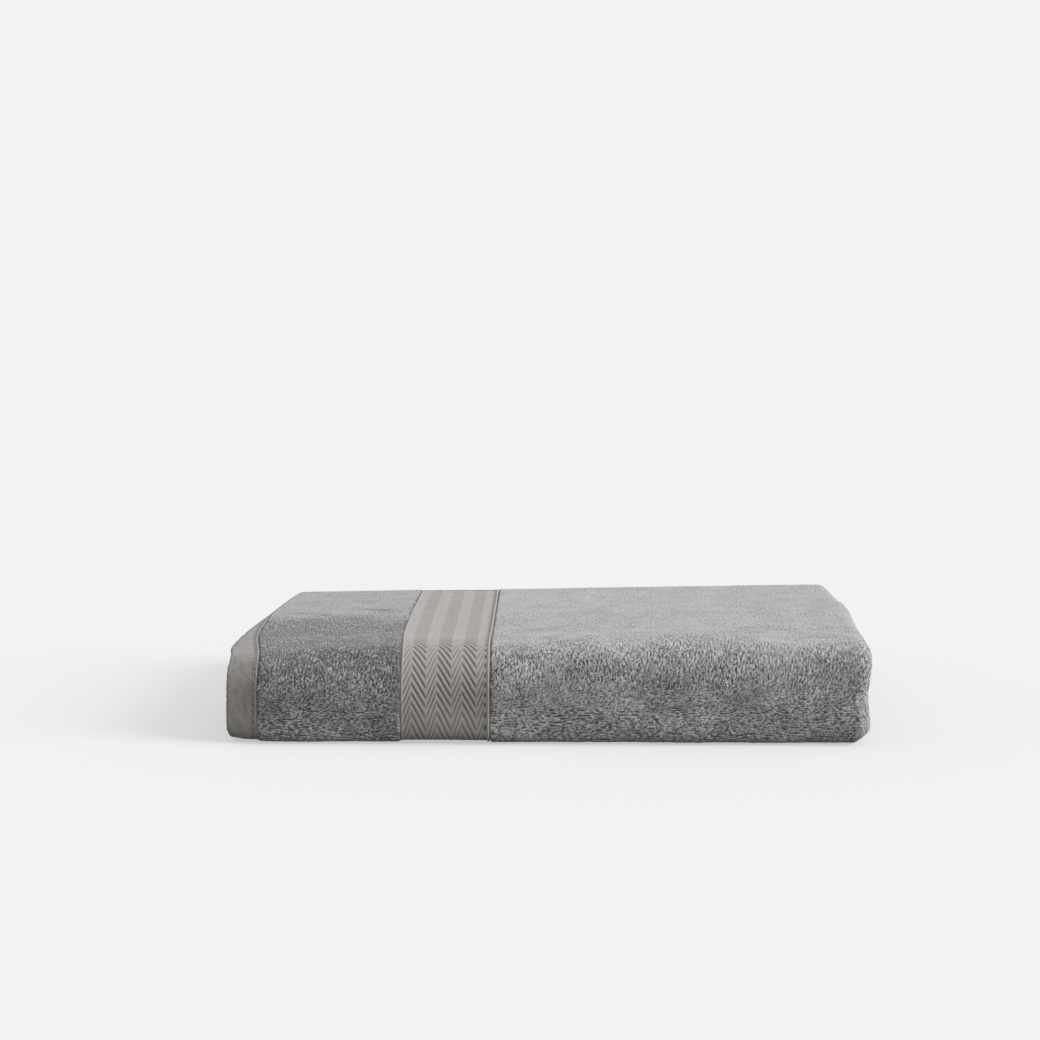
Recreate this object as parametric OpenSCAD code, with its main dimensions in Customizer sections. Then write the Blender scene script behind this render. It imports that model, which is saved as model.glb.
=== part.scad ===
// Bath towel, folded for the shelf: four layers lengthwise, then in thirds.
// The open towel is woven in zones along its length: end hem, terry strip, flat woven border,
// terry field, and the same zones again in reverse order at the other end.
// The cloth is drawn once as a flat path of four layers in the (x, layer height) plane, and that
// path is then carried over the top panel, round the front fold, along the bottom panel, round
// the back fold and into the middle panel.

/* [Towel] */
// Width of the open towel, side hem to side hem
towel_w = 700; // [500:10:900]
// Length of the open towel, end hem to end hem
towel_l = 1400; // [1000:20:1800]

/* [Cloth] */
// Thickness of the terry cloth over its loops
terry_t = 4.1; // [2.5:0.1:5]
// Thickness of the flat woven border
border_t = 2.2; // [1.2:0.1:2.4]
// Thickness of the folded end hem
end_hem_t = 2.4; // [1.4:0.1:2.4]
// Thickness of the rolled side hem
side_hem_t = 3; // [2:0.1:3]
// Air between two neighbouring layers
layer_gap = 0.3; // [0.2:0.05:0.6]

/* [Woven zones] */
// Width of the end hem
end_hem_w = 17; // [12:1:30]
// Width of the terry strip between the end hem and the border
strip_w = 79; // [40:1:90]
// Width of the flat woven border
border_w = 49; // [20:1:60]
// Width of the side hem
side_hem_w = 10; // [6:1:14]

/* [Fold] */
// How far the inner end hem stays behind the outer one
inner_hem_inset = 2; // [0:0.5:6]
// How far the hidden fold at the hem end stays behind the outer hem
hidden_fold_inset = 1.5; // [0:0.5:6]
// How far the free edge of the top panel stays short of the back fold
top_edge_inset = 2; // [1:0.5:8]
// Room between the free edge of the middle panel and the front fold
middle_edge_inset = 1; // [0.5:0.5:8]

/* [Stitching and trim] */
// Width of a row of stitches
stitch_w = 0.8; // [0.5:0.1:1.5]
// Height of a row of stitches over the cloth
stitch_t = 0.4; // [0.2:0.1:0.5]
// Distance from the edge of a hem to its row of stitches
stitch_inset = 1.6; // [1:0.1:3]
// Width of the raised rib along the border
rib_w = 1.8; // [1:0.1:3]
// Height of the raised rib over the border
rib_t = 0.7; // [0.3:0.1:0.8]
// Width of the care label
label_w = 32; // [20:1:50]
// Length of the care label below the hem
label_l = 20; // [10:1:24]
// Thickness of the care label
label_t = 0.6; // [0.4:0.1:1]
// Distance of the care label from the fold end
label_from_end = 70; // [40:5:200]

/* [Colours] */
// Colour of the terry loops
terry_colour = "#8f8b8c";
// Colour of the flat woven cloth
woven_colour = "#98948f";
// Colour of the sewing thread
thread_colour = "#a8a49f";
// Colour of the care label
label_colour = "#e6e4e0";

/* [Hidden] */
$fn = 96;
pitch = terry_t + layer_gap;
half_gap = layer_gap / 2;
layers = 4;
outer_layer = 3;
inner_layer = 2;
strip_stack_t = layers * pitch;

// Rounded to a fiftieth of a millimetre, so that half of it is a whole hundredth and faces meet
function rounded(size) = round(size * 50) / 50;

// Length of the folded towel, from the length of cloth in its four layers and three folds
folds_l = 2.5 * PI * pitch;
stack_l = rounded((towel_l - folds_l + 10 * pitch - 3 * half_gap
                   + 2 * hidden_fold_inset + inner_hem_inset) / 4);
x_outer_hem = -stack_l / 2;
x_inner_hem = x_outer_hem + inner_hem_inset;
x_fold_end = stack_l / 2 - 2 * pitch + half_gap;
x_hidden_fold = x_outer_hem + hidden_fold_inset + pitch;

// Depth of the folded towel, from the width of cloth at the middle of the four layers
front_r = 2 * pitch;
stack_d = rounded((towel_w - 6 * PI * pitch + 26 * pitch - 5 * half_gap
                   + top_edge_inset + middle_edge_inset) / 3);
y_front_fold = -stack_d / 2 + front_r + strip_stack_t - half_gap;
y_back_fold = stack_d / 2 - strip_stack_t + half_gap;
y_top_edge = stack_d / 2 - top_edge_inset;
y_middle_edge = y_front_fold + middle_edge_inset;

// Heights of the panels: the bottom face of the stack is at zero
z_back_fold = strip_stack_t - half_gap;
z_front_fold = z_back_fold + front_r;
z_top_panel = z_front_fold + front_r;

// ---- The cloth path, drawn in the (x, layer height) plane ----

// Height of the middle of a layer
function layer_mid(layer) = (layer + 0.5) * pitch;

// A flat piece of cloth in one layer, thick_t thick, with its middle raised by lift
module flat_run(layer, x_from, x_to, thick_t, lift = 0) {
    translate([x_from, layer_mid(layer) + lift - thick_t / 2])
        square([x_to - x_from, thick_t]);
}

// A half turn of cloth about (x, height), open to the side opposite to its bulge
module half_turn(x, height, bulge, mid_r, thick_t) {
    r_out = mid_r + thick_t / 2;
    translate([x, height])
        intersection() {
            difference() {
                circle(r_out);
                circle(mid_r - thick_t / 2);
            }
            translate([bulge > 0 ? 0 : -r_out, -r_out])
                square([r_out, 2 * r_out]);
        }
}

// The three lengthwise folds and the two hidden layers that they join
module folded_middle(thick_t) {
    half_turn(x_fold_end, 2 * pitch, 1, 1.5 * pitch, thick_t);
    half_turn(x_fold_end, 2 * pitch, 1, 0.5 * pitch, thick_t);
    half_turn(x_hidden_fold, pitch, -1, 0.5 * pitch, thick_t);
    flat_run(0, x_hidden_fold, x_fold_end, thick_t);
    flat_run(1, x_hidden_fold, x_fold_end, thick_t);
}

// All the cloth from one distance from the end hems to the same distance at the other end
module folded_path(from_end, thick_t) {
    flat_run(outer_layer, x_outer_hem + from_end, x_fold_end, thick_t);
    flat_run(inner_layer, x_inner_hem + from_end, x_fold_end, thick_t);
    folded_middle(thick_t);
}

// ---- The path carried over the panels and round the folds ----

// The top, bottom or middle panel: base is the height of its inner face, up is 1 or -1
module panel(y_from, y_to, base, up) {
    translate([0, y_to, base])
        mirror([0, 0, up < 0 ? 1 : 0])
            rotate([90, 0, 0])
                linear_extrude(y_to - y_from)
                    children();
}

// A half turn about an axis along X: bulge is -1 to the front and 1 to the back
module turn(y, z, inner_r, bulge) {
    translate([0, y, z])
        rotate([90, 0, 90])
            rotate([0, 0, -90 * bulge])
                rotate_extrude(angle = 180)
                    translate([inner_r, 0])
                        mirror([1, -1])
                            children();
}

// The whole run of a zone over all three panels, short of both free edges by edge_w
module over_panels(edge_w) {
    panel(y_front_fold, y_top_edge - edge_w, z_top_panel, 1) children();
    turn(y_front_fold, z_front_fold, front_r, -1) children();
    panel(y_front_fold, y_back_fold, z_back_fold, -1) children();
    turn(y_back_fold, z_back_fold, 0, 1) children();
    panel(y_middle_edge + edge_w, y_back_fold, z_back_fold, 1) children();
}

// A run along the free edge of the top panel, set in from it by inset
module along_back_edge(inset, width) {
    panel(y_top_edge - inset - width, y_top_edge - inset, z_top_panel, 1) children();
}

// A run along the free edge of the middle panel, set in from it by inset
module along_middle_edge(inset, width) {
    panel(y_middle_edge + inset, y_middle_edge + inset + width, z_back_fold, 1) children();
}

// ---- Terry ----

module terry_field() {
    color(terry_colour)
        over_panels(side_hem_w)
            folded_path(end_hem_w + strip_w + border_w, terry_t);
}

module terry_strip(layer, x_hem) {
    color(terry_colour)
        over_panels(side_hem_w)
            flat_run(layer, x_hem + end_hem_w, x_hem + end_hem_w + strip_w, terry_t);
}

module terry_strip_outer() terry_strip(outer_layer, x_outer_hem);
module terry_strip_inner() terry_strip(inner_layer, x_inner_hem);

// ---- Flat woven border and its raised rib ----

module woven_border(layer, x_hem) {
    x_start = x_hem + end_hem_w + strip_w;
    color(woven_colour)
        over_panels(side_hem_w)
            flat_run(layer, x_start, x_start + border_w, border_t);
}

// The rib lies on the towel's face: up on the outer layer, down on the inner one
module border_rib(layer, x_hem, face) {
    x_end = x_hem + end_hem_w + strip_w + border_w;
    color(woven_colour)
        over_panels(side_hem_w)
            flat_run(layer, x_end - rib_w, x_end, rib_t, face * (border_t + rib_t) / 2);
}

module woven_border_outer() woven_border(outer_layer, x_outer_hem);
module woven_border_inner() woven_border(inner_layer, x_inner_hem);
module border_rib_outer() border_rib(outer_layer, x_outer_hem, 1);
module border_rib_inner() border_rib(inner_layer, x_inner_hem, -1);

// ---- End hems ----

module end_hem(layer, x_hem) {
    color(woven_colour)
        over_panels(0)
            flat_run(layer, x_hem, x_hem + end_hem_w, end_hem_t);
}

// One row of stitches shows on each face of the hem
module end_hem_stitches(layer, x_hem) {
    x_end = x_hem + end_hem_w - stitch_inset;
    for (face = [-1, 1])
        color(thread_colour)
            over_panels(0)
                flat_run(layer, x_end - stitch_w, x_end, stitch_t,
                         face * (end_hem_t + stitch_t) / 2);
}

module end_hem_outer() end_hem(outer_layer, x_outer_hem);
module end_hem_inner() end_hem(inner_layer, x_inner_hem);
module end_hem_stitches_outer() end_hem_stitches(outer_layer, x_outer_hem);
module end_hem_stitches_inner() end_hem_stitches(inner_layer, x_inner_hem);

// ---- Side hems ----

// The rows of stitches on both faces of all four layers and their folds
module side_stitch_path() {
    difference() {
        folded_path(end_hem_w, side_hem_t + 2 * stitch_t);
        folded_path(end_hem_w, side_hem_t);
    }
}

module side_hem_back() {
    color(woven_colour)
        along_back_edge(0, side_hem_w) folded_path(end_hem_w, side_hem_t);
}

module side_hem_middle() {
    color(woven_colour)
        along_middle_edge(0, side_hem_w) folded_path(end_hem_w, side_hem_t);
}

module side_hem_stitches_back() {
    color(thread_colour)
        along_back_edge(side_hem_w - stitch_inset - stitch_w, stitch_w) side_stitch_path();
}

module side_hem_stitches_middle() {
    color(thread_colour)
        along_middle_edge(side_hem_w - stitch_inset - stitch_w, stitch_w) side_stitch_path();
}

// ---- Care label, caught in the side hem and hanging down behind the free edge ----

module care_label() {
    z_top = z_top_panel + layer_mid(outer_layer) + side_hem_t / 2;
    color(label_colour)
        translate([x_fold_end - label_from_end, y_top_edge, z_top - label_l])
            cube([label_w, label_t, label_l]);
}

terry_field();
terry_strip_outer();
terry_strip_inner();
woven_border_outer();
woven_border_inner();
border_rib_outer();
border_rib_inner();
end_hem_outer();
end_hem_inner();
end_hem_stitches_outer();
end_hem_stitches_inner();
side_hem_back();
side_hem_middle();
side_hem_stitches_back();
side_hem_stitches_middle();
care_label();
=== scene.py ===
"""A folded grey bath towel on a pale floor.

The cloth is one long strip: four layers lengthwise, then a top, a bottom and a middle panel.
Every woven zone is a closed sheet drawn on that folded path, in millimetres, from the frame.
"""
import math

import bpy
import numpy as np
from mathutils import Euler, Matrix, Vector


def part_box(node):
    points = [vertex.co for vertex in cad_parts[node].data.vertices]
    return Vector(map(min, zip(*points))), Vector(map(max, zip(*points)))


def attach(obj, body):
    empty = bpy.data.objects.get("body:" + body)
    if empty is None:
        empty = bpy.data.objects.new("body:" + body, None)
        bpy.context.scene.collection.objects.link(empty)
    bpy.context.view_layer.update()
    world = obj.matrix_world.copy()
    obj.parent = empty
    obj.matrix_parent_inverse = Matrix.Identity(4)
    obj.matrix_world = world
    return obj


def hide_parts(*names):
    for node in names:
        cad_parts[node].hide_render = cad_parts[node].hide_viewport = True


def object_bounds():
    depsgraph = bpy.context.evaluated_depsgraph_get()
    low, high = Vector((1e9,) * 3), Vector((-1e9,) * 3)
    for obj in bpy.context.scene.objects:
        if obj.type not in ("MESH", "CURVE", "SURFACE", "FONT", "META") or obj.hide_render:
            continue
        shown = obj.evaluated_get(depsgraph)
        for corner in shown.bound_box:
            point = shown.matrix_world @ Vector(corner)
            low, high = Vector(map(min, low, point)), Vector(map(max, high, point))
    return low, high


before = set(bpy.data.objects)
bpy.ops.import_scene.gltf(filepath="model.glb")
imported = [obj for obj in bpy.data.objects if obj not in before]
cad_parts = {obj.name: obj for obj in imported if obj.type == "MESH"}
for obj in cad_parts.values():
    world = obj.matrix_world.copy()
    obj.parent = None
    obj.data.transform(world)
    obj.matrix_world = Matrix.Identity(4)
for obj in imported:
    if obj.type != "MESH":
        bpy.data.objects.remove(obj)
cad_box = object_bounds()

MM = 0.001


def box_mm(node):
    """A CAD node's lowest and highest corner, in millimetres."""
    low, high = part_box(node)
    return np.array(low) / MM, np.array(high) / MM


# ---- Sizes of the cloth and its folds, read from the frame ----

LAYER_GAP = 0.3
LAYERS = 12
BOX_LOW, BOX_HIGH = (np.array(corner) / MM for corner in cad_box)
HEIGHT = BOX_HIGH[2]
PITCH = (HEIGHT + LAYER_GAP) / LAYERS
HALF_GAP = LAYER_GAP / 2

HEM_LOW, HEM_HIGH = box_mm("end_hem_outer")
STRIP_LOW, STRIP_HIGH = box_mm("terry_strip_outer")
BORDER_LOW, BORDER_HIGH = box_mm("woven_border_outer")
RIB_LOW, RIB_HIGH = box_mm("border_rib_outer")
SIDE_LOW, SIDE_HIGH = box_mm("side_hem_back")

HEM_W = HEM_HIGH[0] - HEM_LOW[0]
STRIP_W = STRIP_HIGH[0] - STRIP_LOW[0]
BORDER_W = BORDER_HIGH[0] - BORDER_LOW[0]
RIB_W = RIB_HIGH[0] - RIB_LOW[0]
SIDE_HEM_W = SIDE_HIGH[1] - SIDE_LOW[1]
STRIP_END = HEM_W + STRIP_W           # distances from the end of the cloth
FIELD_START = STRIP_END + BORDER_W
TERRY_T = PITCH - LAYER_GAP
BORDER_T = 2.2
END_HEM_T = 2.4
SIDE_HEM_T = 3.0

X_HEM = HEM_LOW[0]
X_INNER_HEM = box_mm("end_hem_inner")[0][0]
X_FOLD = BOX_HIGH[0] - 2 * PITCH + HALF_GAP
X_HIDDEN = box_mm("terry_field")[0][0] + PITCH - HALF_GAP
Y_TOP_EDGE = SIDE_HIGH[1]
Y_FRONT = BOX_LOW[1] + 6 * PITCH - HALF_GAP
Y_BACK = BOX_HIGH[1] - 4 * PITCH + HALF_GAP
Y_MIDDLE_EDGE = box_mm("side_hem_middle")[0][1]
Z_BACK = 4 * PITCH - HALF_GAP
Z_FRONT = Z_BACK + 2 * PITCH
Z_TOP = Z_FRONT + 2 * PITCH

# Lengths of cloth along the four layers and their turns, from the outer end hem to the inner one
RUNS = (
    X_FOLD - X_HEM,
    1.5 * PITCH * math.pi,
    X_FOLD - X_HIDDEN,
    0.5 * PITCH * math.pi,
    X_FOLD - X_HIDDEN,
    0.5 * PITCH * math.pi,
    X_FOLD - X_INNER_HEM,
)
RUN_ENDS = np.concatenate([[0], np.cumsum(RUNS)])
LENGTH = RUN_ENDS[-1]

# Lengths of cloth over the panels and their turns, from the top panel's free edge to the middle's
PANELS = (
    Y_TOP_EDGE - Y_FRONT,
    4 * PITCH * math.pi,
    Y_BACK - Y_FRONT,
    2 * PITCH * math.pi,
    Y_BACK - Y_MIDDLE_EDGE,
)
PANEL_ENDS = np.concatenate([[0], np.cumsum(PANELS)])
WIDTH = PANEL_ENDS[-1]


# ---- The folded path ----

def run_of(u, ends):
    """Which run each distance lies in, and how far into it."""
    run = np.clip(np.searchsorted(ends, u, side="right") - 1, 0, len(ends) - 2)
    return run, u - ends[run]


def lengthwise(u):
    """x, height in the strip, and the unit normal (x, height) towards the towel's face."""
    run, s = run_of(u, RUN_ENDS)
    # per run: start or centre x, height or centre height, way along x or bulge, radius, start side, face side
    table = np.array([
        (X_HEM, 3.5 * PITCH, 1, 0, 0, 1),
        (X_FOLD, 2 * PITCH, 1, 1.5 * PITCH, 1, 1),
        (X_FOLD, 0.5 * PITCH, -1, 0, 0, -1),
        (X_HIDDEN, PITCH, -1, 0.5 * PITCH, -1, 1),
        (X_HIDDEN, 1.5 * PITCH, 1, 0, 0, 1),
        (X_FOLD, 2 * PITCH, 1, 0.5 * PITCH, -1, -1),
        (X_FOLD, 2.5 * PITCH, -1, 0, 0, -1),
    ])
    x0, height0, way, radius, start, face = np.moveaxis(table[run], -1, 0)
    turning = radius > 0
    angle = np.where(turning, s / np.where(turning, radius, 1), 0)
    x = np.where(turning, x0 + way * radius * np.sin(angle), x0 + way * s)
    height = height0 + start * radius * np.cos(angle)
    normal_x = np.where(turning, face * way * np.sin(angle), 0)
    normal_h = np.where(turning, face * start * np.cos(angle), face)
    return x, height, normal_x, normal_h


def widthwise(w, height):
    """y, z and the distance along the cloth, for a height in the strip above its inner face."""
    run, s = run_of(w, PANEL_ENDS)
    # per panel or turn: start or centre y, base or centre z, way along y or bulge, base radius, up
    table = np.array([
        (Y_TOP_EDGE, Z_TOP, -1, 0, 1),
        (Y_FRONT, Z_FRONT, -1, 2 * PITCH, 1),
        (Y_FRONT, Z_BACK, 1, 0, -1),
        (Y_BACK, Z_BACK, 1, 0, -1),
        (Y_BACK, Z_BACK, -1, 0, 1),
    ])
    y0, z0, way, base, up = np.moveaxis(table[run], -1, 0)
    turning = (run == 1) | (run == 3)
    angle = np.where(turning, s / (base + 2 * PITCH), 0)
    normal_y = np.where(turning, way * np.sin(angle), 0)
    normal_z = up * np.cos(angle)
    y = np.where(turning, y0, y0 + way * s) + normal_y * (base + height)
    z = z0 + normal_z * (base + height)
    stretch = (base + height) / (base + 2 * PITCH)
    turns_before = (run > 1) * 1 + (run > 3)
    along = PANEL_ENDS[run] + np.where(turning, s * stretch, s)
    along = along + turns_before * math.pi * (height - 2 * PITCH)
    return y, z, along


def smooth(value, start, end):
    """0 before start, 1 after end, and a smooth step between."""
    t = np.clip((value - start) / (end - start), 0, 1)
    return t * t * (3 - 2 * t)


# ---- How the soft stack settles ----

TOP_MIDDLE = 53.0          # height of the top panel over the middle of the stack
TOP_RISE = 0.0165          # its rise towards the fold end, per millimetre
CROWN_DROP = 2.4           # how far the hem half of the top falls towards the front fold
CREST_RISE = 2.5           # how far the fold puffs up behind the front
BACK_DROP = 4.5            # how far the top panel's free edge falls
SHOULDER_Y = (-100, -62, 26, 90, 118)              # places across the stack, and
SHOULDER_X = (-177, -174.5, -164, -158.5, -154.5)  # where the hem end starts to bend down there
SHOULDER_ARC = 10.0        # length of cloth that bends down at the hem end
SHOULDER_ANGLE = math.radians(78)
TUCK_FROM = -60.0          # where the inner layers start to draw back from the hem end
SPREAD = 0.05              # how far the hem half spreads at mid depth
ARC_STEPS = 64


def shoulder_table():
    """Length, forward and down distances along a cloth that bends to the shoulder's angle."""
    s = np.linspace(0, 60, 60 * ARC_STEPS + 1)
    angle = SHOULDER_ANGLE * smooth(s, 0, SHOULDER_ARC)
    step = s[1] - s[0]
    forward = np.concatenate([[0], np.cumsum(np.cos(angle[1:]) * step)])
    down = np.concatenate([[0], np.cumsum(np.sin(angle[1:]) * step)])
    return s, forward, down


SHOULDER = shoulder_table()


def nose(x, y, z):
    """The front fold, squarer than a half round at its foot and at the fold end."""
    dy, dz = np.minimum(y - Y_FRONT, 0), z - Z_FRONT
    radius = np.hypot(dy, dz) + 1e-9
    upper = 2.1 + 0.6 * smooth(x, -75, 60)
    power = np.where(dz < 0, 6.5, upper)
    sine, cosine = np.abs(dy) / radius, np.abs(dz) / radius
    grow = np.maximum(sine ** power + cosine ** power, 1e-9) ** (-1 / power)
    inside = y < Y_FRONT
    return np.where(inside, Y_FRONT + dy * grow, y), np.where(inside, Z_FRONT + dz * grow, z)


def hem_end(x, y, z, inner):
    """The thin hem end slumps: the outer layer bends down over a shoulder behind the front fold.

    inner is 0 in the outer layer of a panel and 1 in the layers inside it, which end before the shoulder.
    """
    share = z / HEIGHT
    spread = SPREAD * smooth(y, -112, -40) * (1 - 0.55 * smooth(y, 20, 118))
    end = X_HEM * (1 + spread * share)
    x = x * (1 + spread * smooth(-x, 20, 120) * share)
    start = np.interp(y, SHOULDER_Y, SHOULDER_X)
    amount = smooth(y, -112, -70)
    limit = start + 2 - 23 * (1 - inner)
    ratio = np.minimum((limit - TUCK_FROM) / (end - TUCK_FROM), 1)
    x = x - np.minimum(x - TUCK_FROM, 0) * (1 - ratio) * amount * share
    s = np.maximum(start - x, 0)
    forward = np.interp(s, SHOULDER[0], SHOULDER[1])
    down = np.interp(s, SHOULDER[0], SHOULDER[2])
    return x + (s - forward) * share * amount, z - down * share * amount


def fold_end(x, y, z):
    """The fold end bulges a little, more at the back and differently in each panel."""
    near = smooth(x, 90, 178)
    bulge = (1.5 + 3.6 * smooth(y, -110, 10) - 2.4 * smooth(y, 20, 80)) * smooth(z, 24, 44)
    bulge = bulge + 0.9 * np.sin(y / 23 + z / 9)
    bulge = bulge - 1.4 * np.exp(-((y - 56) / 7) ** 2) - 1.2 * np.exp(-((y + 90) / 6) ** 2)
    foot = -4.0 * smooth(-z, -9, 0) * smooth(-y, 60, 118) * smooth(x, 160, 178)
    return x + near * bulge + foot


def settle(x, y, z, inner):
    """Moves points of the ideal stack to where the soft cloth lies."""
    y, z = nose(x, y, z)
    # the top's uneven height
    top = TOP_MIDDLE + TOP_RISE * x
    top = top - CROWN_DROP * smooth(-x, -60, 150) * smooth(-y, 5, 100)
    top = top + 0.45 * np.sin(x / 31 + 1.2) * np.sin(y / 37 + 0.4)
    top = top + CREST_RISE * np.exp(-((y + 88) / 28) ** 2) * (1 - smooth(np.abs(x + 15), 95, 160))
    z = z * top / HEIGHT
    x = fold_end(x, y, z)
    # the free edge of the top panel
    y = y + 2.5 * smooth(y, 60, 118) * smooth(z, 30, 48)
    z = z - BACK_DROP * smooth(y, 109, 127) * smooth(z, 14, 50)
    x, z = hem_end(x, y, z, inner)
    # the hem end's front corner: rounded at its top and foot, a little puckered, lifted and drawn back
    rounded = 1.7 * smooth(z, 38, 50) * smooth(-y, 40, 72)
    rounded = rounded + (1.4 * smooth(-z, -7, 0) + 0.14 * np.sin(z / 0.6)) * smooth(-y, 70, 104)
    x = x + rounded * smooth(-x, 167, 176.5)
    lift = 1.3 * smooth(-x, 165, 177) * smooth(-y, 96, 120)
    z = z + lift * (1 - z / HEIGHT)
    y = y + 3.5 * smooth(-x, 135, 178) ** 2 * smooth(-y, 90, 118)
    # slight waves along both long sides
    wave = 0.5 * np.sin(x / 19 + z / 6) + 0.35 * np.sin(x / 8.3 + 2)
    y = y + wave * smooth(-y, 60, 120) - wave * smooth(y, 60, 120)
    return x, y, np.maximum(z, 0)


def place(u, w, offset):
    """Points of the settled cloth, offset from its middle towards its face, and their distance along."""
    x, height, normal_x, normal_h = lengthwise(u)
    raised = height + normal_h * offset
    y, z, along = widthwise(w, raised)
    inner = smooth(3.5 - height / PITCH, 0, 1)
    return np.stack(settle(x + normal_x * offset, y, z, inner), -1), along


# ---- Repeatable random patterns ----

def hashed(i, j, salt):
    """A random number from 0 to 1 for each whole-number cell."""
    n = (i.astype(np.int64) * 374761393 + j.astype(np.int64) * 668265263 + salt * 974634777) & 0xFFFFFFFF
    n = ((n ^ (n >> 13)) * 1274126177) & 0xFFFFFFFF
    return ((n ^ (n >> 16)) & 0xFFFF) / 65535.0


def value_noise(a, b, size, salt):
    """Smooth noise from 0 to 1 with cells of one size."""
    a, b = a / size, b / size
    i, j = np.floor(a), np.floor(b)
    fa, fb = a - i, b - j
    fa, fb = fa * fa * (3 - 2 * fa), fb * fb * (3 - 2 * fb)
    low = hashed(i, j, salt) * (1 - fa) + hashed(i + 1, j, salt) * fa
    high = hashed(i, j + 1, salt) * (1 - fa) + hashed(i + 1, j + 1, salt) * fa
    return low * (1 - fb) + high * fb


# ---- Terry pile ----

LOOP_ACROSS, LOOP_ALONG = 0.95, 1.25    # spacing of the loops
LOOP_HALF_W, LOOP_HALF_L = 0.52, 1.0    # half width and half length of a loop
PILE_DEPTH = 0.95                       # from the ground to the tallest loop tips
# PILE_SHADE is the level of the painted shade where the pile is closed
PILE_SHADE = 0.72                       # shade of a closed pile, between its gaps and its tips
CLOSED = 0.34                           # how open the pile is where it is pressed flat
STRIP_OPENS = 101                       # how much further back the narrow strip's pile opens


def loops(across, along, lying):
    """Height of the loops from 0 to 1. Lying turns them from the length to the width of the cloth."""
    ci, cj = np.floor(across / LOOP_ACROSS), np.floor(along / LOOP_ALONG)
    best = np.zeros(np.shape(across))
    for di in (-1, 0, 1):
        for dj in (-1, 0, 1):
            i, j = ci + di, cj + dj
            dx = across - (i + 0.5 + 0.85 * (hashed(i, j, 1) - 0.5)) * LOOP_ACROSS
            dy = along - (j + 0.5 + (0.85 - 0.4 * lying) * (hashed(i, j, 2) - 0.5)) * LOOP_ALONG
            angle = (lying + (0.8 - 0.4 * lying) * (hashed(i, j, 3) - 0.5)) * math.pi / 2
            side = (np.cos(angle) * dx + np.sin(angle) * dy) / LOOP_HALF_W
            end = (np.cos(angle) * dy - np.sin(angle) * dx) / (LOOP_HALF_L * (1 + 0.5 * lying))
            tall = 0.5 + 0.5 * hashed(i, j, 4)
            best = np.maximum(best, tall * np.sqrt(np.maximum(0, 1 - side ** 2 - end ** 2)))
    return best


def pile(u, w, along):
    """How far the loops stand over the ground, from 0 to 1, and how open the pile is.

    The pile is closed on the top and opens over the front's crest, along a ragged line. Its loops stand
    upright there, and lie across on the lower front. It is less open again on the back.
    """
    nose_start = PANEL_ENDS[1]
    lying = smooth(along, nose_start + 24, nose_start + 52)
    back = smooth(w, PANEL_ENDS[3] - 10, PANEL_ENDS[3])
    lying = lying * (1 - 0.6 * back)
    crest = nose_start + 2 + 4 * smooth(u, 200, 400) - STRIP_OPENS * (1 - smooth(u, STRIP_END, FIELD_START))
    ragged = 22 * (value_noise(u, w, 30, 8) - 0.5) + 10 * (value_noise(u, w, 9, 9) - 0.5)
    openness = CLOSED + (1 - CLOSED) * smooth(w + ragged, crest - 24, crest + 30)
    streaks = smooth(value_noise(u, w * 2.2, 17, 14), 0.45, 0.85) * smooth(w, crest - 80, crest - 45)
    openness = np.maximum(openness, CLOSED + 0.38 * streaks) * (1 - 0.3 * back)
    openness = openness * (0.82 + 0.36 * value_noise(u, along, 9, 5))
    bend = 3.5 * (value_noise(u, along, 13, 12) - 0.5)
    height = loops(u + 1.2 * value_noise(u, along, 6, 6), along + bend, lying)
    height = height * (0.72 + 0.28 * value_noise(u, along, 5, 7))
    return height, openness


# ---- Meshes of cloth ----

def spaced(start, end, ends, steps):
    """Positions from start to end with each run's own spacing, and one at every run's end."""
    found = [start]
    for k, step in enumerate(steps):
        low, high = max(start, ends[k]), min(end, ends[k + 1])
        if high - low > 1e-6:
            count = max(1, math.ceil((high - low) / step))
            found.extend(np.linspace(low, high, count + 1)[1:])
    return np.array(found)


def zip_strip(first, second, a_at, b_at):
    """Triangles between two rows of vertices that run side by side, by their places along it."""
    faces, i, j = [], 0, 0
    while i < len(first) - 1 or j < len(second) - 1:
        if j == len(second) - 1 or (i < len(first) - 1 and a_at[i + 1] <= b_at[j + 1]):
            faces.append((first[i], second[j], first[i + 1]))
            i += 1
        else:
            faces.append((first[i], second[j], second[j + 1]))
            j += 1
    return faces


def grid_faces(ids, flip):
    """Quads over a grid of vertex numbers."""
    quads = np.stack([ids[:-1, :-1], ids[1:, :-1], ids[1:, 1:], ids[:-1, 1:]], -1).reshape(-1, 4)
    return quads[:, ::-1] if flip else quads


def make_mesh(name, points, quads, triangles, attributes):
    """A smooth mesh object in metres, from points in millimetres."""
    mesh = bpy.data.meshes.new(name)
    corners = np.concatenate([np.ravel(quads), np.ravel(triangles)]).astype(np.int32)
    sizes = np.concatenate([np.full(len(quads), 4), np.full(len(triangles), 3)])
    starts = np.concatenate([[0], np.cumsum(sizes)[:-1]]).astype(np.int32)
    mesh.vertices.add(len(points))
    mesh.vertices.foreach_set("co", (points * MM).astype(np.float32).ravel())
    mesh.loops.add(len(corners))
    mesh.loops.foreach_set("vertex_index", corners)
    mesh.polygons.add(len(sizes))
    mesh.polygons.foreach_set("loop_start", starts)
    mesh.polygons.foreach_set("use_smooth", np.ones(len(sizes), bool))
    for key, values in attributes.items():
        kind = "FLOAT_VECTOR" if values.ndim == 2 else "FLOAT"
        field = "vector" if values.ndim == 2 else "value"
        layer = mesh.attributes.new(key, kind, "POINT")
        layer.data.foreach_set(field, values.astype(np.float32).ravel())
    mesh.update(calc_edges=True)
    mesh.validate()
    thing = bpy.data.objects.new(name, mesh)
    bpy.context.scene.collection.objects.link(thing)
    return thing


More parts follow.
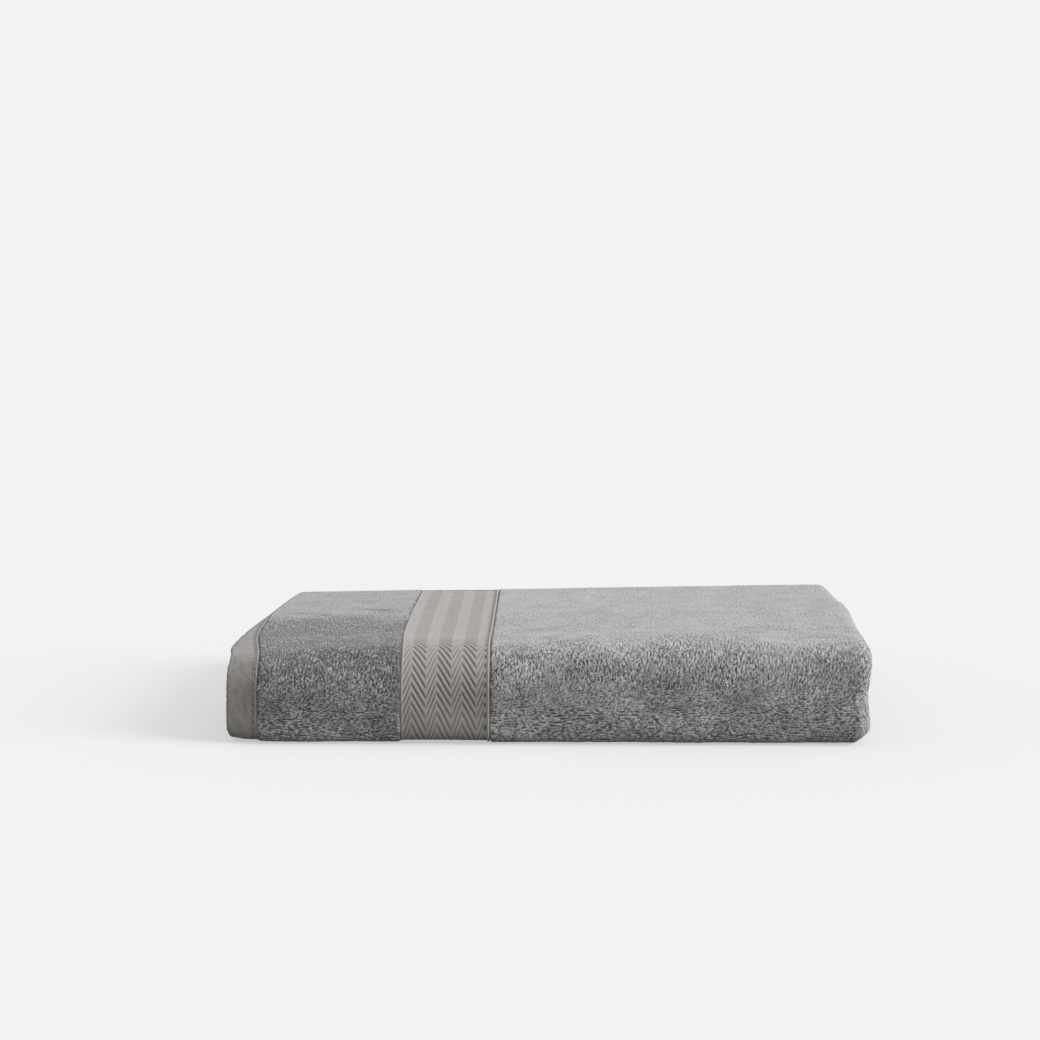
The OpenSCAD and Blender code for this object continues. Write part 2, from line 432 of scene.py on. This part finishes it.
def edge_taper(distance, reach, least):
    """Share of the full thickness near an edge of a zone: rounded from least up to 1."""
    t = np.clip(distance / reach, 0, 1)
    return least + (1 - least) * np.sqrt(1 - (1 - t) ** 2)


def sheet_mesh(name, u_range, w_range, steps, back_steps, thickness, relief, taper):
    """A closed sheet: its face with relief, a plain back, and rims that join them.

    relief(u, w, along) gives heights in millimetres, a painted shade for the colour and how open the pile is,
    both from 0 to 1.
    taper(u, w) gives the share of the thickness at each place.
    """
    sides = []
    for face, (u_steps, w_steps) in ((1, steps), (-1, back_steps)):
        u = spaced(*u_range, RUN_ENDS, u_steps)
        w = spaced(*w_range, W_BREAKS, w_steps)
        uu, ww = np.meshgrid(u, w, indexing="ij")
        offset = face * thickness / 2 * taper(uu, ww)
        points, along = place(uu, ww, offset)
        shade, opened = np.zeros(uu.shape), np.zeros(uu.shape)
        if face > 0:
            outer, _ = place(uu, ww, offset + 0.5)
            outward = outer - points
            outward /= np.linalg.norm(outward, axis=-1, keepdims=True) + 1e-9
            height, shade, opened = relief(uu, ww, along)
            points = points + outward * height[..., None]
        points[..., 2] = np.maximum(points[..., 2], 0)
        cloth = np.stack([uu, along, np.zeros(uu.shape)], -1) * MM
        sides.append((points, shade, cloth, opened, u, w))
    (top, top_shade, top_cloth, top_open, top_u, top_w) = sides[0]
    (under, under_shade, under_cloth, under_open, under_u, under_w) = sides[1]
    ids = np.arange(top.shape[0] * top.shape[1]).reshape(top.shape[:2])
    under_ids = np.arange(under.shape[0] * under.shape[1]).reshape(under.shape[:2]) + ids.size
    quads = np.concatenate([grid_faces(ids, True), grid_faces(under_ids, False)])
    rims = []
    for k, flip in ((0, False), (-1, True)):
        faces = zip_strip(ids[k], under_ids[k], top_w, under_w)
        rims.extend([f[::-1] for f in faces] if flip else faces)
        faces = zip_strip(ids[:, k], under_ids[:, k], top_u, under_u)
        rims.extend(faces if flip else [f[::-1] for f in faces])
    points = np.concatenate([top.reshape(-1, 3), under.reshape(-1, 3)])
    shade = np.concatenate([top_shade.ravel(), under_shade.ravel()])
    cloth = np.concatenate([top_cloth.reshape(-1, 3), under_cloth.reshape(-1, 3)])
    opened = np.concatenate([top_open.ravel(), under_open.ravel()])
    return make_mesh(name, points, quads, np.array(rims), {"pile": shade, "cloth": cloth, "open": opened})


# Spacing of the mesh on each run and panel, in millimetres. The top panel counts as two, back and front.
# FINE has loops, HIDDEN and PLAIN are for backs and for faces inside the folds.
W_BREAKS = np.insert(PANEL_ENDS, 1, PANEL_ENDS[1] - 108)
FINE_RUNS = (0.44, 0.42, 12, 0.7, 12, 1.1, 12)
HIDDEN_RUNS = (6, 1.4, 14, 0.9, 14, 0.9, 14)
FINE_PANELS = (0.85, 0.5, 0.37, 1.9, 0.5, 2.4)
PLAIN_PANELS = (5, 5, 2.4, 8, 1.6, 10)
BORDER_RUNS = (0.45,) * 7
BORDER_PANELS = (0.6, 0.6, 0.4, 3, 0.6, 8)


def shown(u, w):
    """1 where the towel's face can be seen: the outer layer and the fold ends, not the bottom panel."""
    outer = 1 - smooth(u, RUN_ENDS[2] + 1, RUN_ENDS[2] + 6)
    hidden_fold = smooth(u, RUN_ENDS[3] - 4, RUN_ENDS[3]) * (1 - smooth(u, RUN_ENDS[4], RUN_ENDS[4] + 4))
    bottom = smooth(w, PANEL_ENDS[2] + 1, PANEL_ENDS[2] + 8)
    bottom = bottom * (1 - smooth(w, PANEL_ENDS[3] - 6, PANEL_ENDS[3]))
    middle = smooth(w, PANEL_ENDS[4], PANEL_ENDS[4] + 6)
    flat = np.maximum(bottom, middle) * (1 - 0.5 * smooth(u, RUN_ENDS[1] - 8, RUN_ENDS[1]))
    return np.maximum(outer, hidden_fold) * (1 - flat)


def terry_relief(u, w, along):
    """Relief of the loops, with puckers at the seams.

    Painted shade darkens the loops' gaps and the seam puckers; the strip is darker and the crest has a
    painted highlight.
    """
    height, openness = pile(u, w, along)
    seen = shown(u, w)
    depth = PILE_DEPTH * (0.45 + 0.55 * openness) * seen
    # Painted shade: darker in the gaps between loops and lighter on their tips, more so where the pile is
    # open
    shade = PILE_SHADE + (height - PILE_SHADE) * openness * seen
    strip = 1 - smooth(u, STRIP_END, FIELD_START)
    into_nose = along - PANEL_ENDS[1]
    # Darker over the narrow strip, less so down its front, and a painted highlight along the field's crest
    # where the loops face the key light
    strip_dark_and_crest_highlight = (0.11 + 0.13 * smooth(openness, 0.45, 1)) * strip
    strip_dark_and_crest_highlight = strip_dark_and_crest_highlight * (1 - 0.35 * smooth(into_nose, 7, 32)) * (1 - 0.8 * smooth(into_nose, 44, 67))
    strip_dark_and_crest_highlight = strip_dark_and_crest_highlight - 0.1 * (1 - strip) * np.exp(-((into_nose - 8) / 13) ** 2)
    seams = (HEM_W, STRIP_END, FIELD_START)
    near = sum(np.exp(-((u - seam) / 1.1) ** 2) for seam in seams)
    # Painted shade in the pits along the seams, where the loops sink in
    pits = near * smooth(value_noise(u * 0, along, 2.6, 15), 0.3, 0.7)
    height = height - 0.35 * near
    return (height - 0.72) * depth, shade - (strip_dark_and_crest_highlight + 0.4 * pits) * seen, openness * seen


def no_relief(u, w, along):
    """A flat zone that the folds hide."""
    return np.zeros(u.shape), np.full(u.shape, 0.6), np.zeros(u.shape)


def zone_taper(u_range, w_range, u_least, w_least, reach):
    """A taper towards each of the four edges of a zone. u_least and w_least are pairs."""
    def taper(u, w):
        share = edge_taper(u - u_range[0], reach, u_least[0])
        share = share * edge_taper(u_range[1] - u, reach, u_least[1])
        share = share * edge_taper(w - w_range[0], reach, w_least[0])
        return share * edge_taper(w_range[1] - w, reach, w_least[1])
    return taper


# ---- Herringbone border ----

RISE_W, FALL_W = 5.75, 8.1     # widths of the two legs of a chevron
CHEVRON_CLIMB = 14.3           # how far a chevron climbs along the border
CHEVRON_ROW = 5.5              # spacing of the rows along the border
GROOVE_DEPTH = 0.62


def herringbone(across, along):
    """Depth of the grooves in millimetres and a painted shade from 0 in a groove to 1 on a ridge."""
    c = np.mod(across, RISE_W + FALL_W)
    rising = c < RISE_W
    climb = CHEVRON_CLIMB * np.where(rising, c / RISE_W, 1 - (c - RISE_W) / FALL_W)
    phase = np.mod((along + climb) / CHEVRON_ROW, 1)
    groove = np.exp(-((phase - 0.5) / 0.17) ** 2)
    into_nose = along - PANEL_ENDS[1]
    # The rising legs get shallower grooves and lighter painted shade than the falling legs, as the key light
    # falls along them; both fade on the top and under the front
    strength = np.where(rising, 0.5 + 0.3 * smooth(into_nose, 18, 45), 1.0)
    ends = np.minimum(c, RISE_W + FALL_W - c)
    tips = np.minimum(np.abs(c - RISE_W), ends)
    strength = strength * (0.45 + 0.55 * smooth(tips, 0, 0.9))
    strength = strength * (0.62 + 0.38 * smooth(into_nose, -26, 6)) * (1 - 0.4 * smooth(into_nose, 34, 56))
    return -GROOVE_DEPTH * groove * strength, 1 - groove * strength


def border_relief(side):
    """Relief of a border whose terry field lies on that side: 1 after it, -1 before it."""
    def relief(u, w, along):
        across = u - STRIP_END if side > 0 else LENGTH - STRIP_END - u
        pattern_w = BORDER_W - RIB_W - 1.4
        inside = smooth(across, 0.6, 1.6) * (1 - smooth(across, pattern_w - 0.8, pattern_w))
        depth, shade = herringbone(across, along)
        pits = np.exp(-((across - pattern_w - 0.5) / 0.55) ** 2)
        pits = pits * smooth(np.sin(along * 2 * math.pi / CHEVRON_ROW), -0.2, 0.6)
        edge = 0.25 * np.exp(-((across - 0.8) / 0.5) ** 2)
        seen = shown(u, w)
        depth = depth * inside - 0.55 * pits + edge
        under = smooth(along, PANEL_ENDS[1] + 30, PANEL_ENDS[1] + 56)
        # Painted shade: darker in the grooves and the pits, and darker on the underside of the front fold
        shade = 0.92 - (1 - shade) * inside - 0.9 * pits - 0.2 * under
        return depth * seen, np.clip(shade, 0, 1), 0 * seen
    return relief


# ---- Hems ----

STITCH_PITCH = 3.2
STITCH_L = 2.6
STITCH_AT = HEM_W - 2.0                 # the stitch row's place on an end hem
SIDE_STITCH_AT = SIDE_HEM_W - 2.0       # and on a side hem
THREAD_RADIUS = 0.27


def hem_relief(across, along, stitch_at):
    """A groove that the stitches pull in, and a rolled ridge beyond it."""
    pull = 0.75 + 0.25 * np.cos(along * 2 * math.pi / STITCH_PITCH)
    groove = np.exp(-((across - stitch_at) / 0.75) ** 2) * pull
    ridge = np.exp(-((across - stitch_at - 1.55) / 0.6) ** 2)
    drift = 5 * value_noise(across, along, 11, 16)
    rows = 0.045 * np.sin((1.1 * across + along + drift) * 2 * math.pi / 1.9)
    creases = 0.3 * (value_noise(across - 0.7 * along, across + 0.25 * along, 2.6, 11) - 0.5)
    creases = creases + 0.16 * (value_noise(across * 0.6 + along, along * 0.3, 1.7, 17) - 0.5)
    # The shade has the twill rows, painted shade in the creases and the stitch groove and a painted highlight
    # on the rolled ridge; its low level is partly the hem's own tone and partly painted shade for the end
    # turned away from the key light
    shade = 0.47 + 1.6 * rows + 0.55 * creases - 0.3 * groove + 0.3 * ridge
    return -0.5 * groove + 0.3 * ridge + rows + creases, np.clip(shade, 0, 1)


def end_hem_relief(side):
    """Relief of an end hem whose free edge is at u = 0 for side 1 and at the full length for -1."""
    def relief(u, w, along):
        across = u if side > 0 else LENGTH - u
        depth, shade = hem_relief(across, along, STITCH_AT)
        return depth, shade, 0 * depth
    return relief


def side_hem_relief(side):
    """Relief of a side hem whose free edge is at w = 0 for side 1 and at the full width for -1."""
    def relief(u, w, along):
        across = w if side > 0 else WIDTH - w
        depth, shade = hem_relief(across, u, SIDE_STITCH_AT)
        return depth * 0.6, shade, 0 * depth
    return relief


# ---- Sewing thread ----

def stitch_tubes(name, places):
    """Short threads that dive into the cloth at both ends. places gives each one's centres, way and up."""
    sides, points, faces = 6, [], []
    for centre, along, up in places:
        rings = len(centre)
        across = np.cross(up, along)
        across /= np.linalg.norm(across) + 1e-9
        base = len(points)
        for k in range(rings):
            size = THREAD_RADIUS * (0.75 + 0.25 * math.sin(math.pi * k / (rings - 1)))
            for m in range(sides):
                angle = 2 * math.pi * m / sides
                points.append(centre[k] + size * (math.cos(angle) * across + math.sin(angle) * up))
        for k in range(rings - 1):
            for m in range(sides):
                a, b = base + k * sides + m, base + k * sides + (m + 1) % sides
                faces.append((a, b, b + sides, a + sides))
        for k, order in ((0, -1), (rings - 1, 1)):
            ring = [base + k * sides + m for m in range(sides)][::order]
            faces.append((ring[0], ring[1], ring[2], ring[3]))
            faces.append((ring[0], ring[3], ring[4], ring[5]))
    points = np.array(points)
    plain = np.full(len(points), 0.7)
    return make_mesh(name, points, np.array(faces), np.zeros((0, 3), int),
                     {"pile": plain, "cloth": points * MM})


def stitch_row(line, count, surface):
    """Centres, way and up of each stitch of a row: line(t) gives (u, w), and surface the base offset."""
    found = []
    shares = np.linspace(-0.5, 0.5, 5)
    for k in range(count):
        middle = (k + 0.5) * STITCH_PITCH
        u, w = line(middle + shares * STITCH_L)
        bow = surface + math.copysign(1, surface) * (0.32 * np.cos(math.pi * shares) ** 0.7 - 0.12)
        centre, _ = place(u, w, bow)
        above, _ = place(u, w, bow + math.copysign(0.5, surface))
        up = above[2] - centre[2]
        up /= np.linalg.norm(up) + 1e-9
        along = centre[-1] - centre[0]
        found.append((centre, along, up))
    return found


def end_stitches(name, side):
    """The stitches of an end hem, on both faces."""
    at = STITCH_AT if side > 0 else LENGTH - STITCH_AT
    count = int(WIDTH // STITCH_PITCH)
    rows = []
    for face in (1, -1):
        rows += stitch_row(lambda t: (np.full(t.shape, at), t), count, face * (END_HEM_T / 2 - 0.25))
    return stitch_tubes(name, rows)


def side_stitches(name, side):
    """The stitches of a side hem, on both faces."""
    at = SIDE_STITCH_AT if side > 0 else WIDTH - SIDE_STITCH_AT
    count = int((LENGTH - 2 * HEM_W) // STITCH_PITCH)
    rows = []
    for face in (1, -1):
        rows += stitch_row(lambda t: (t + HEM_W, np.full(t.shape, at)), count, face * (SIDE_HEM_T / 2 - 0.3))
    return stitch_tubes(name, rows)


# ---- Node materials ----

class Nodes:
    """Adds nodes to a material and links them by name."""

    def __init__(self, name):
        self.material = bpy.data.materials.new(name)
        self.material.use_nodes = True
        self.tree = self.material.node_tree
        self.shader = self.tree.nodes["Principled BSDF"]

    def add(self, kind, **values):
        node = self.tree.nodes.new(kind)
        for key, value in values.items():
            if key in node.inputs:
                node.inputs[key].default_value = value
            else:
                setattr(node, key, value)
        return node

    def link(self, source, target):
        self.tree.links.new(source, target)

    def math(self, operation, first, second):
        node = self.add("ShaderNodeMath", operation=operation)
        for socket, value in zip(node.inputs, (first, second)):
            if isinstance(value, (int, float)):
                socket.default_value = value
            else:
                self.link(value, socket)
        return node.outputs[0]

    def spread(self, value, low, high, to_low, to_high):
        """A range of values mapped onto another, held at its ends."""
        node = self.add("ShaderNodeMapRange")
        self.link(value, node.inputs["Value"])
        for key, number in (("From Min", low), ("From Max", high), ("To Min", to_low), ("To Max", to_high)):
            node.inputs[key].default_value = number
        return node.outputs["Result"]

    def noise(self, coordinates, scale, detail=2.0):
        node = self.add("ShaderNodeTexNoise", Scale=scale, Detail=detail, Roughness=0.6)
        self.link(coordinates, node.inputs["Vector"])
        return node.outputs["Fac"]

    def attribute(self, name, output):
        return self.add("ShaderNodeAttribute", attribute_name=name).outputs[output]

    def part(self, name, axis):
        """One part of a vector attribute."""
        split = self.add("ShaderNodeSeparateXYZ")
        self.link(self.attribute(name, "Vector"), split.inputs[0])
        return split.outputs[axis]

    def stretched(self, scale):
        """The cloth's own coordinates, scaled."""
        node = self.add("ShaderNodeMapping", Scale=scale)
        self.link(self.attribute("cloth", "Vector"), node.inputs["Vector"])
        return node.outputs["Vector"]

    def mix(self, factor, first, second):
        """A colour between two constants."""
        node = self.add("ShaderNodeMix", data_type="RGBA")
        self.link(factor, node.inputs["Factor"])
        for socket, colour in ((node.inputs[6], first), (node.inputs[7], second)):
            socket.default_value = (*colour, 1)
        return node.outputs[2]

    def tint(self, colour, value):
        """The colour times a grey value."""
        node = self.add("ShaderNodeMix", data_type="RGBA", blend_type="MULTIPLY")
        node.inputs["Factor"].default_value = 1
        self.link(colour, node.inputs[6])
        self.link(value, node.inputs[7])
        return node.outputs[2]

    def finish(self, colour, height, bump_mm, roughness, sheen):
        """The surface of the material. Bump is for grain finer than the mesh."""
        bump = self.add("ShaderNodeBump", Strength=0.8, Distance=bump_mm * MM)
        self.link(height, bump.inputs["Height"])
        self.link(bump.outputs["Normal"], self.shader.inputs["Normal"])
        self.link(colour, self.shader.inputs["Base Color"])
        self.shader.inputs["Roughness"].default_value = roughness
        self.shader.inputs["Specular IOR Level"].default_value = 0.15
        self.shader.inputs["Sheen Weight"].default_value = sheen
        self.shader.inputs["Sheen Roughness"].default_value = 0.55
        return self.material


def terry_material():
    n = Nodes("terry")
    where = n.add("ShaderNodeTexCoord").outputs["Object"]
    # The pile attribute holds painted shade in the gaps between loops and at the seams and a painted
    # highlight on the front's crest, with the narrow strip darker
    painted_pile_shade_and_highlight = n.attribute("pile", "Fac")
    yarn = n.noise(where, 1500, 3)
    patches = n.noise(where, 85)
    opened = n.attribute("open", "Fac")
    upright = n.noise(n.stretched((1, 0.16, 1)), 1500, 2)
    lying = n.noise(n.stretched((0.3, 1, 1)), 1500, 2)
    turned = n.spread(n.part("cloth", 1), (PANEL_ENDS[1] + 22) * MM, (PANEL_ENDS[1] + 50) * MM, 0, 1)
    strands = n.math("ADD", upright, n.math("MULTIPLY", turned, n.math("SUBTRACT", lying, upright)))
    strength = n.spread(opened, 0.3, 1, 0.15, 0.85)
    level = n.math("ADD", painted_pile_shade_and_highlight, n.spread(yarn, 0.3, 0.7, -0.18, 0.18))
    level = n.math("ADD", level, n.math("MULTIPLY", n.spread(strands, 0.3, 0.7, -0.5, 0.5), strength))
    colour = n.mix(n.spread(level, 0.16, 0.96, 0, 1), (0.075, 0.069, 0.071), (0.45, 0.434, 0.438))
    colour = n.tint(colour, n.spread(patches, 0.3, 0.7, 0.88, 1.1))
    return n.finish(colour, yarn, 0.5, 0.95, 0.25)


def woven_material():
    n = Nodes("woven")
    where = n.attribute("cloth", "Vector")
    # The pile attribute holds painted shade in grooves, pits and creases and a painted highlight on ridges,
    # with the hem's twill rows
    groove = n.attribute("pile", "Fac")
    fine = n.noise(n.add("ShaderNodeTexCoord").outputs["Object"], 1900, 2)
    patches = n.noise(where, 70)
    split = n.add("ShaderNodeSeparateXYZ")
    n.link(where, split.inputs[0])
    warp = n.math("SINE", n.math("MULTIPLY", split.outputs[0], 2 * math.pi / (0.75 * MM)), 0)
    weft = n.math("SINE", n.math("MULTIPLY", split.outputs[1], 2 * math.pi / (0.62 * MM)), 0)
    weave = n.math("MULTIPLY", warp, weft)
    level = n.math("ADD", groove, n.spread(fine, 0.3, 0.7, -0.1, 0.1))
    level = n.math("ADD", level, n.math("MULTIPLY", weave, 0.05))
    colour = n.mix(n.spread(level, 0, 1, 0, 1), (0.075, 0.070, 0.064), (0.315, 0.30, 0.28))
    colour = n.tint(colour, n.spread(patches, 0.3, 0.7, 0.94, 1.05))
    height = n.math("ADD", n.math("MULTIPLY", weave, 0.3), fine)
    return n.finish(colour, height, 0.16, 0.82, 0.2)


def thread_material():
    n = Nodes("thread")
    where = n.add("ShaderNodeTexCoord").outputs["Object"]
    twist = n.noise(where, 2600, 2)
    colour = n.mix(n.spread(twist, 0.3, 0.7, 0, 1), (0.17, 0.162, 0.15), (0.32, 0.305, 0.285))
    return n.finish(colour, twist, 0.12, 0.75, 0.15)


def label_material():
    n = Nodes("label")
    where = n.attribute("cloth", "Vector")
    stripes = n.add("ShaderNodeTexWave", Scale=900.0, Distortion=0.4)
    n.link(where, stripes.inputs["Vector"])
    patches = n.noise(where, 160)
    colour = n.mix(stripes.outputs["Fac"], (0.66, 0.65, 0.62), (0.82, 0.81, 0.78))
    colour = n.tint(colour, n.spread(patches, 0.3, 0.7, 0.93, 1.03))
    return n.finish(colour, stripes.outputs["Fac"], 0.06, 0.5, 0.1)


# ---- The pieces of the towel ----

TERRY, WOVEN, THREAD, LABEL = terry_material(), woven_material(), thread_material(), label_material()


def dress(thing, node, material):
    """Gives a piece its material and slot, and puts it in its CAD node's place."""
    thing.data.materials.append(material)
    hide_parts(node)
    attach(thing, "root")
    return thing


FULL_W = (SIDE_HEM_W, WIDTH - SIDE_HEM_W)
BORDER_EDGE = BORDER_T / TERRY_T
SIDE_EDGE = SIDE_HEM_T / TERRY_T


def terry_piece(name, node, u_range, steps, edges):
    """A zone of looped cloth, between the side hems."""
    taper = zone_taper(u_range, FULL_W, edges, (SIDE_EDGE, SIDE_EDGE), 1.1)
    back_steps = (HIDDEN_RUNS, PLAIN_PANELS)
    thing = sheet_mesh(name, u_range, FULL_W, steps, back_steps, TERRY_T, terry_relief, taper)
    return dress(thing, node, TERRY)


def woven_piece(name, node, u_range, w_range, steps, thickness, relief, edges, w_edges):
    """A zone of flat woven cloth."""
    taper = zone_taper(u_range, w_range, edges, w_edges, 1.0)
    thing = sheet_mesh(name, u_range, w_range, steps, (HIDDEN_RUNS, PLAIN_PANELS), thickness, relief, taper)
    return dress(thing, node, WOVEN)


def rib_piece(name, node, side):
    """The raised rib of thicker yarn beside the terry field, on the towel's face."""
    start = FIELD_START - RIB_W if side > 0 else LENGTH - FIELD_START
    u_range = (start, start + RIB_W)
    steps = ((0.3,) * 7, (0.8, 0.8, 0.6, 4, 0.8, 8) if side > 0 else PLAIN_PANELS)
    taper = zone_taper(u_range, FULL_W, (0.1, 0.1), (0.5, 0.5), RIB_W / 2)

    def relief(u, w, along):
        twist = 0.5 + 0.5 * np.cos(along * 2 * math.pi / 2.4 + (u - u_range[0]) * 1.6)
        # The colour is lighter on the twists' crests and darker between them: painted shade
        return 0.18 * twist * shown(u, w), 0.8 + 0.2 * twist, 0 * twist
    thing = sheet_mesh(name, u_range, FULL_W, steps, steps, BORDER_T + 1.2, relief, taper)
    return dress(thing, node, WOVEN)


def label_piece():
    """A blank tape caught in the side hem, hanging behind the free edge with a soft curl."""
    low, high = box_mm("care_label")
    top = high[2] - 2.2           # just inside the hem's edge
    columns, rows = 33, 25
    x, drop = np.meshgrid(np.linspace(low[0], high[0], columns), np.linspace(0, 1, rows), indexing="ij")
    hang = top - drop * (top - low[2])
    bow = low[1] + 0.5 + 1.6 * np.sin(drop * math.pi * 0.9) + 0.5 * np.sin((x - low[0]) / 9) * drop
    sides = [np.stack(settle(x, bow + face * 0.18, hang, 0), -1) for face in (1, -1)]
    ids = np.arange(columns * rows).reshape(columns, rows)
    under = ids + ids.size
    quads = np.concatenate([grid_faces(ids, False), grid_faces(under, True)])
    rims = []
    for grid, other, flip in ((ids, under, True), (ids.T, under.T, False)):
        for k, turned in ((0, flip), (-1, not flip)):
            places = range(len(grid[k]))
            faces = zip_strip(grid[k], other[k], places, places)
            rims.extend([face[::-1] for face in faces] if turned else faces)
    points = np.concatenate([side.reshape(-1, 3) for side in sides])
    cloth = np.stack([points[:, 0], points[:, 2], 0 * points[:, 0]], -1) * MM
    attributes = {"pile": np.full(len(points), 0.7), "cloth": cloth}
    thing = make_mesh("label", points, quads, np.array(rims), attributes)
    return dress(thing, "care_label", LABEL)


def build_towel():
    """Every zone, hem, thread and label; the zones and hems are closed sheets."""
    strip_range = (HEM_W, STRIP_END)
    border_range = (STRIP_END, FIELD_START)
    field_range = (FIELD_START, LENGTH - FIELD_START)
    fine, plain = (FINE_RUNS, FINE_PANELS), (HIDDEN_RUNS, PLAIN_PANELS)
    border_steps = (BORDER_RUNS, BORDER_PANELS)

    def mirrored(part):
        return LENGTH - part[1], LENGTH - part[0]

    both = (BORDER_EDGE, BORDER_EDGE)
    field = terry_piece("terry_cloth", "terry_field", field_range, fine, both)
    strips = [
        terry_piece("terry_strip_face", "terry_strip_outer", strip_range, fine, both),
        terry_piece("terry_strip_back", "terry_strip_inner", mirrored(strip_range), plain, both),
    ]
    borders = [
        woven_piece("herringbone_border_face", "woven_border_outer", border_range, FULL_W, border_steps,
                    BORDER_T, border_relief(1), (0.8, 0.8), (1, 1)),
        woven_piece("herringbone_border_back", "woven_border_inner", mirrored(border_range), FULL_W, plain,
                    BORDER_T, no_relief, (0.8, 0.8), (1, 1)),
    ]
    ribs = [
        rib_piece("border_rib_face", "border_rib_outer", 1),
        rib_piece("border_rib_back", "border_rib_inner", -1),
    ]
    hem_steps = ((0.55,) * 7, (0.8, 0.8, 0.5, 4, 0.7, 8))
    hems = [
        woven_piece("end_hem_face", "end_hem_outer", (0, HEM_W), (0, WIDTH), hem_steps,
                    END_HEM_T, end_hem_relief(1), (0.12, 0.8), (0.3, 0.3)),
        woven_piece("end_hem_back", "end_hem_inner", (LENGTH - HEM_W, LENGTH), (0, WIDTH), hem_steps,
                    END_HEM_T, end_hem_relief(-1), (0.8, 0.12), (0.3, 0.3)),
    ]
    seams = [end_stitches("end_hem_thread_face", 1), end_stitches("end_hem_thread_back", -1)]
    for seam, node in zip(seams, ("end_hem_stitches_outer", "end_hem_stitches_inner")):
        dress(seam, node, THREAD)
    hem_range = (HEM_W, LENGTH - HEM_W)
    side_steps = ((1.2, 0.8, 3, 0.8, 3, 0.8, 3), (0.5,) * 6)
    last_edge = (WIDTH - SIDE_HEM_W, WIDTH)
    sides = [
        woven_piece("side_hem_top_panel", "side_hem_back", hem_range, (0, SIDE_HEM_W), side_steps,
                    SIDE_HEM_T, side_hem_relief(1), (0.8, 0.8), (0.12, 0.9)),
        woven_piece("side_hem_middle_panel", "side_hem_middle", hem_range, last_edge, side_steps,
                    SIDE_HEM_T, side_hem_relief(-1), (0.8, 0.8), (0.9, 0.12)),
    ]
    side_seams = [
        side_stitches("side_hem_thread_top_panel", 1),
        side_stitches("side_hem_thread_middle_panel", -1),
    ]
    for seam, node in zip(side_seams, ("side_hem_stitches_back", "side_hem_stitches_middle")):
        dress(seam, node, THREAD)
    label = label_piece()


# ---- Floor, light and camera ----

BACKDROP = 0.887           # linear value of the pale backdrop
FLOOR_ALBEDO = 0.29
SKY = 0.82                 # light from all round, as radiance
KEY_TOP = 0.50             # what the soft key light adds to a level surface, as radiance
KEY_ELEVATION = math.radians(27)
KEY_AZIMUTH = math.radians(-14)     # towards the front from the fold end
KEY_WIDTH = math.radians(36)        # how wide the key light looks from the towel
CAMERA_AT = (0.0049, -1.462, 0.285)
CAMERA_DOWN = math.radians(6.83)
CAMERA_LEFT = math.radians(0.857)
CAMERA_FIELD = math.radians(23.59)
SENSOR_MM = 36


def stage_floor():
    """A level floor that blends into the pale backdrop."""
    bpy.ops.mesh.primitive_plane_add(size=60, location=(0, 0, -0.0002))
    floor = bpy.context.object
    floor.name = "floor"
    n = Nodes("floor")
    tree = n.tree
    tree.nodes.remove(n.shader)
    diffuse = n.add("ShaderNodeBsdfDiffuse", Color=(FLOOR_ALBEDO,) * 3 + (1,))
    glow = n.add("ShaderNodeEmission", Color=(1, 1, 1, 1))
    level = BACKDROP - FLOOR_ALBEDO * (SKY + KEY_TOP)
    directly = n.add("ShaderNodeLightPath").outputs["Is Camera Ray"]
    n.link(n.math("MULTIPLY", directly, level), glow.inputs["Strength"])
    both = n.add("ShaderNodeAddShader")
    n.link(diffuse.outputs[0], both.inputs[0])
    n.link(glow.outputs[0], both.inputs[1])
    n.link(both.outputs[0], tree.nodes["Material Output"].inputs["Surface"])
    floor.data.materials.append(n.material)


def studio_light():
    """Even light from all round, and a soft low key light from the fold end."""
    world = bpy.data.worlds.new("studio")
    bpy.context.scene.world = world
    world.use_nodes = True
    tree = world.node_tree
    background = tree.nodes["Background"]
    seen = tree.nodes.new("ShaderNodeLightPath")
    level = tree.nodes.new("ShaderNodeMapRange")
    level.inputs["To Min"].default_value = SKY
    level.inputs["To Max"].default_value = BACKDROP
    tree.links.new(seen.outputs["Is Camera Ray"], level.inputs["Value"])
    tree.links.new(level.outputs["Result"], background.inputs["Strength"])
    background.inputs["Color"].default_value = (1, 1, 1, 1)
    lamp = bpy.data.lights.new("key", "SUN")
    lamp.energy = math.pi * KEY_TOP / math.sin(KEY_ELEVATION)
    lamp.angle = KEY_WIDTH
    key = bpy.data.objects.new("key", lamp)
    towards = Vector((math.cos(KEY_AZIMUTH) * math.cos(KEY_ELEVATION),
                      math.sin(KEY_AZIMUTH) * math.cos(KEY_ELEVATION), math.sin(KEY_ELEVATION)))
    key.rotation_euler = towards.to_track_quat("Z", "Y").to_euler()
    bpy.context.scene.collection.objects.link(key)


def camera():
    """The photo's camera: a little above level, in front of the long side."""
    data = bpy.data.cameras.new("camera")
    data.sensor_width = SENSOR_MM
    data.lens = SENSOR_MM / 2 / math.tan(CAMERA_FIELD / 2)
    view = bpy.data.objects.new("camera", data)
    view.location = CAMERA_AT
    view.rotation_euler = Euler((math.pi / 2 - CAMERA_DOWN, 0, CAMERA_LEFT))
    bpy.context.scene.collection.objects.link(view)
    bpy.context.scene.camera = view


camera()
build_towel()
stage_floor()
studio_light()
bpy.context.scene.view_settings.view_transform = "Standard"
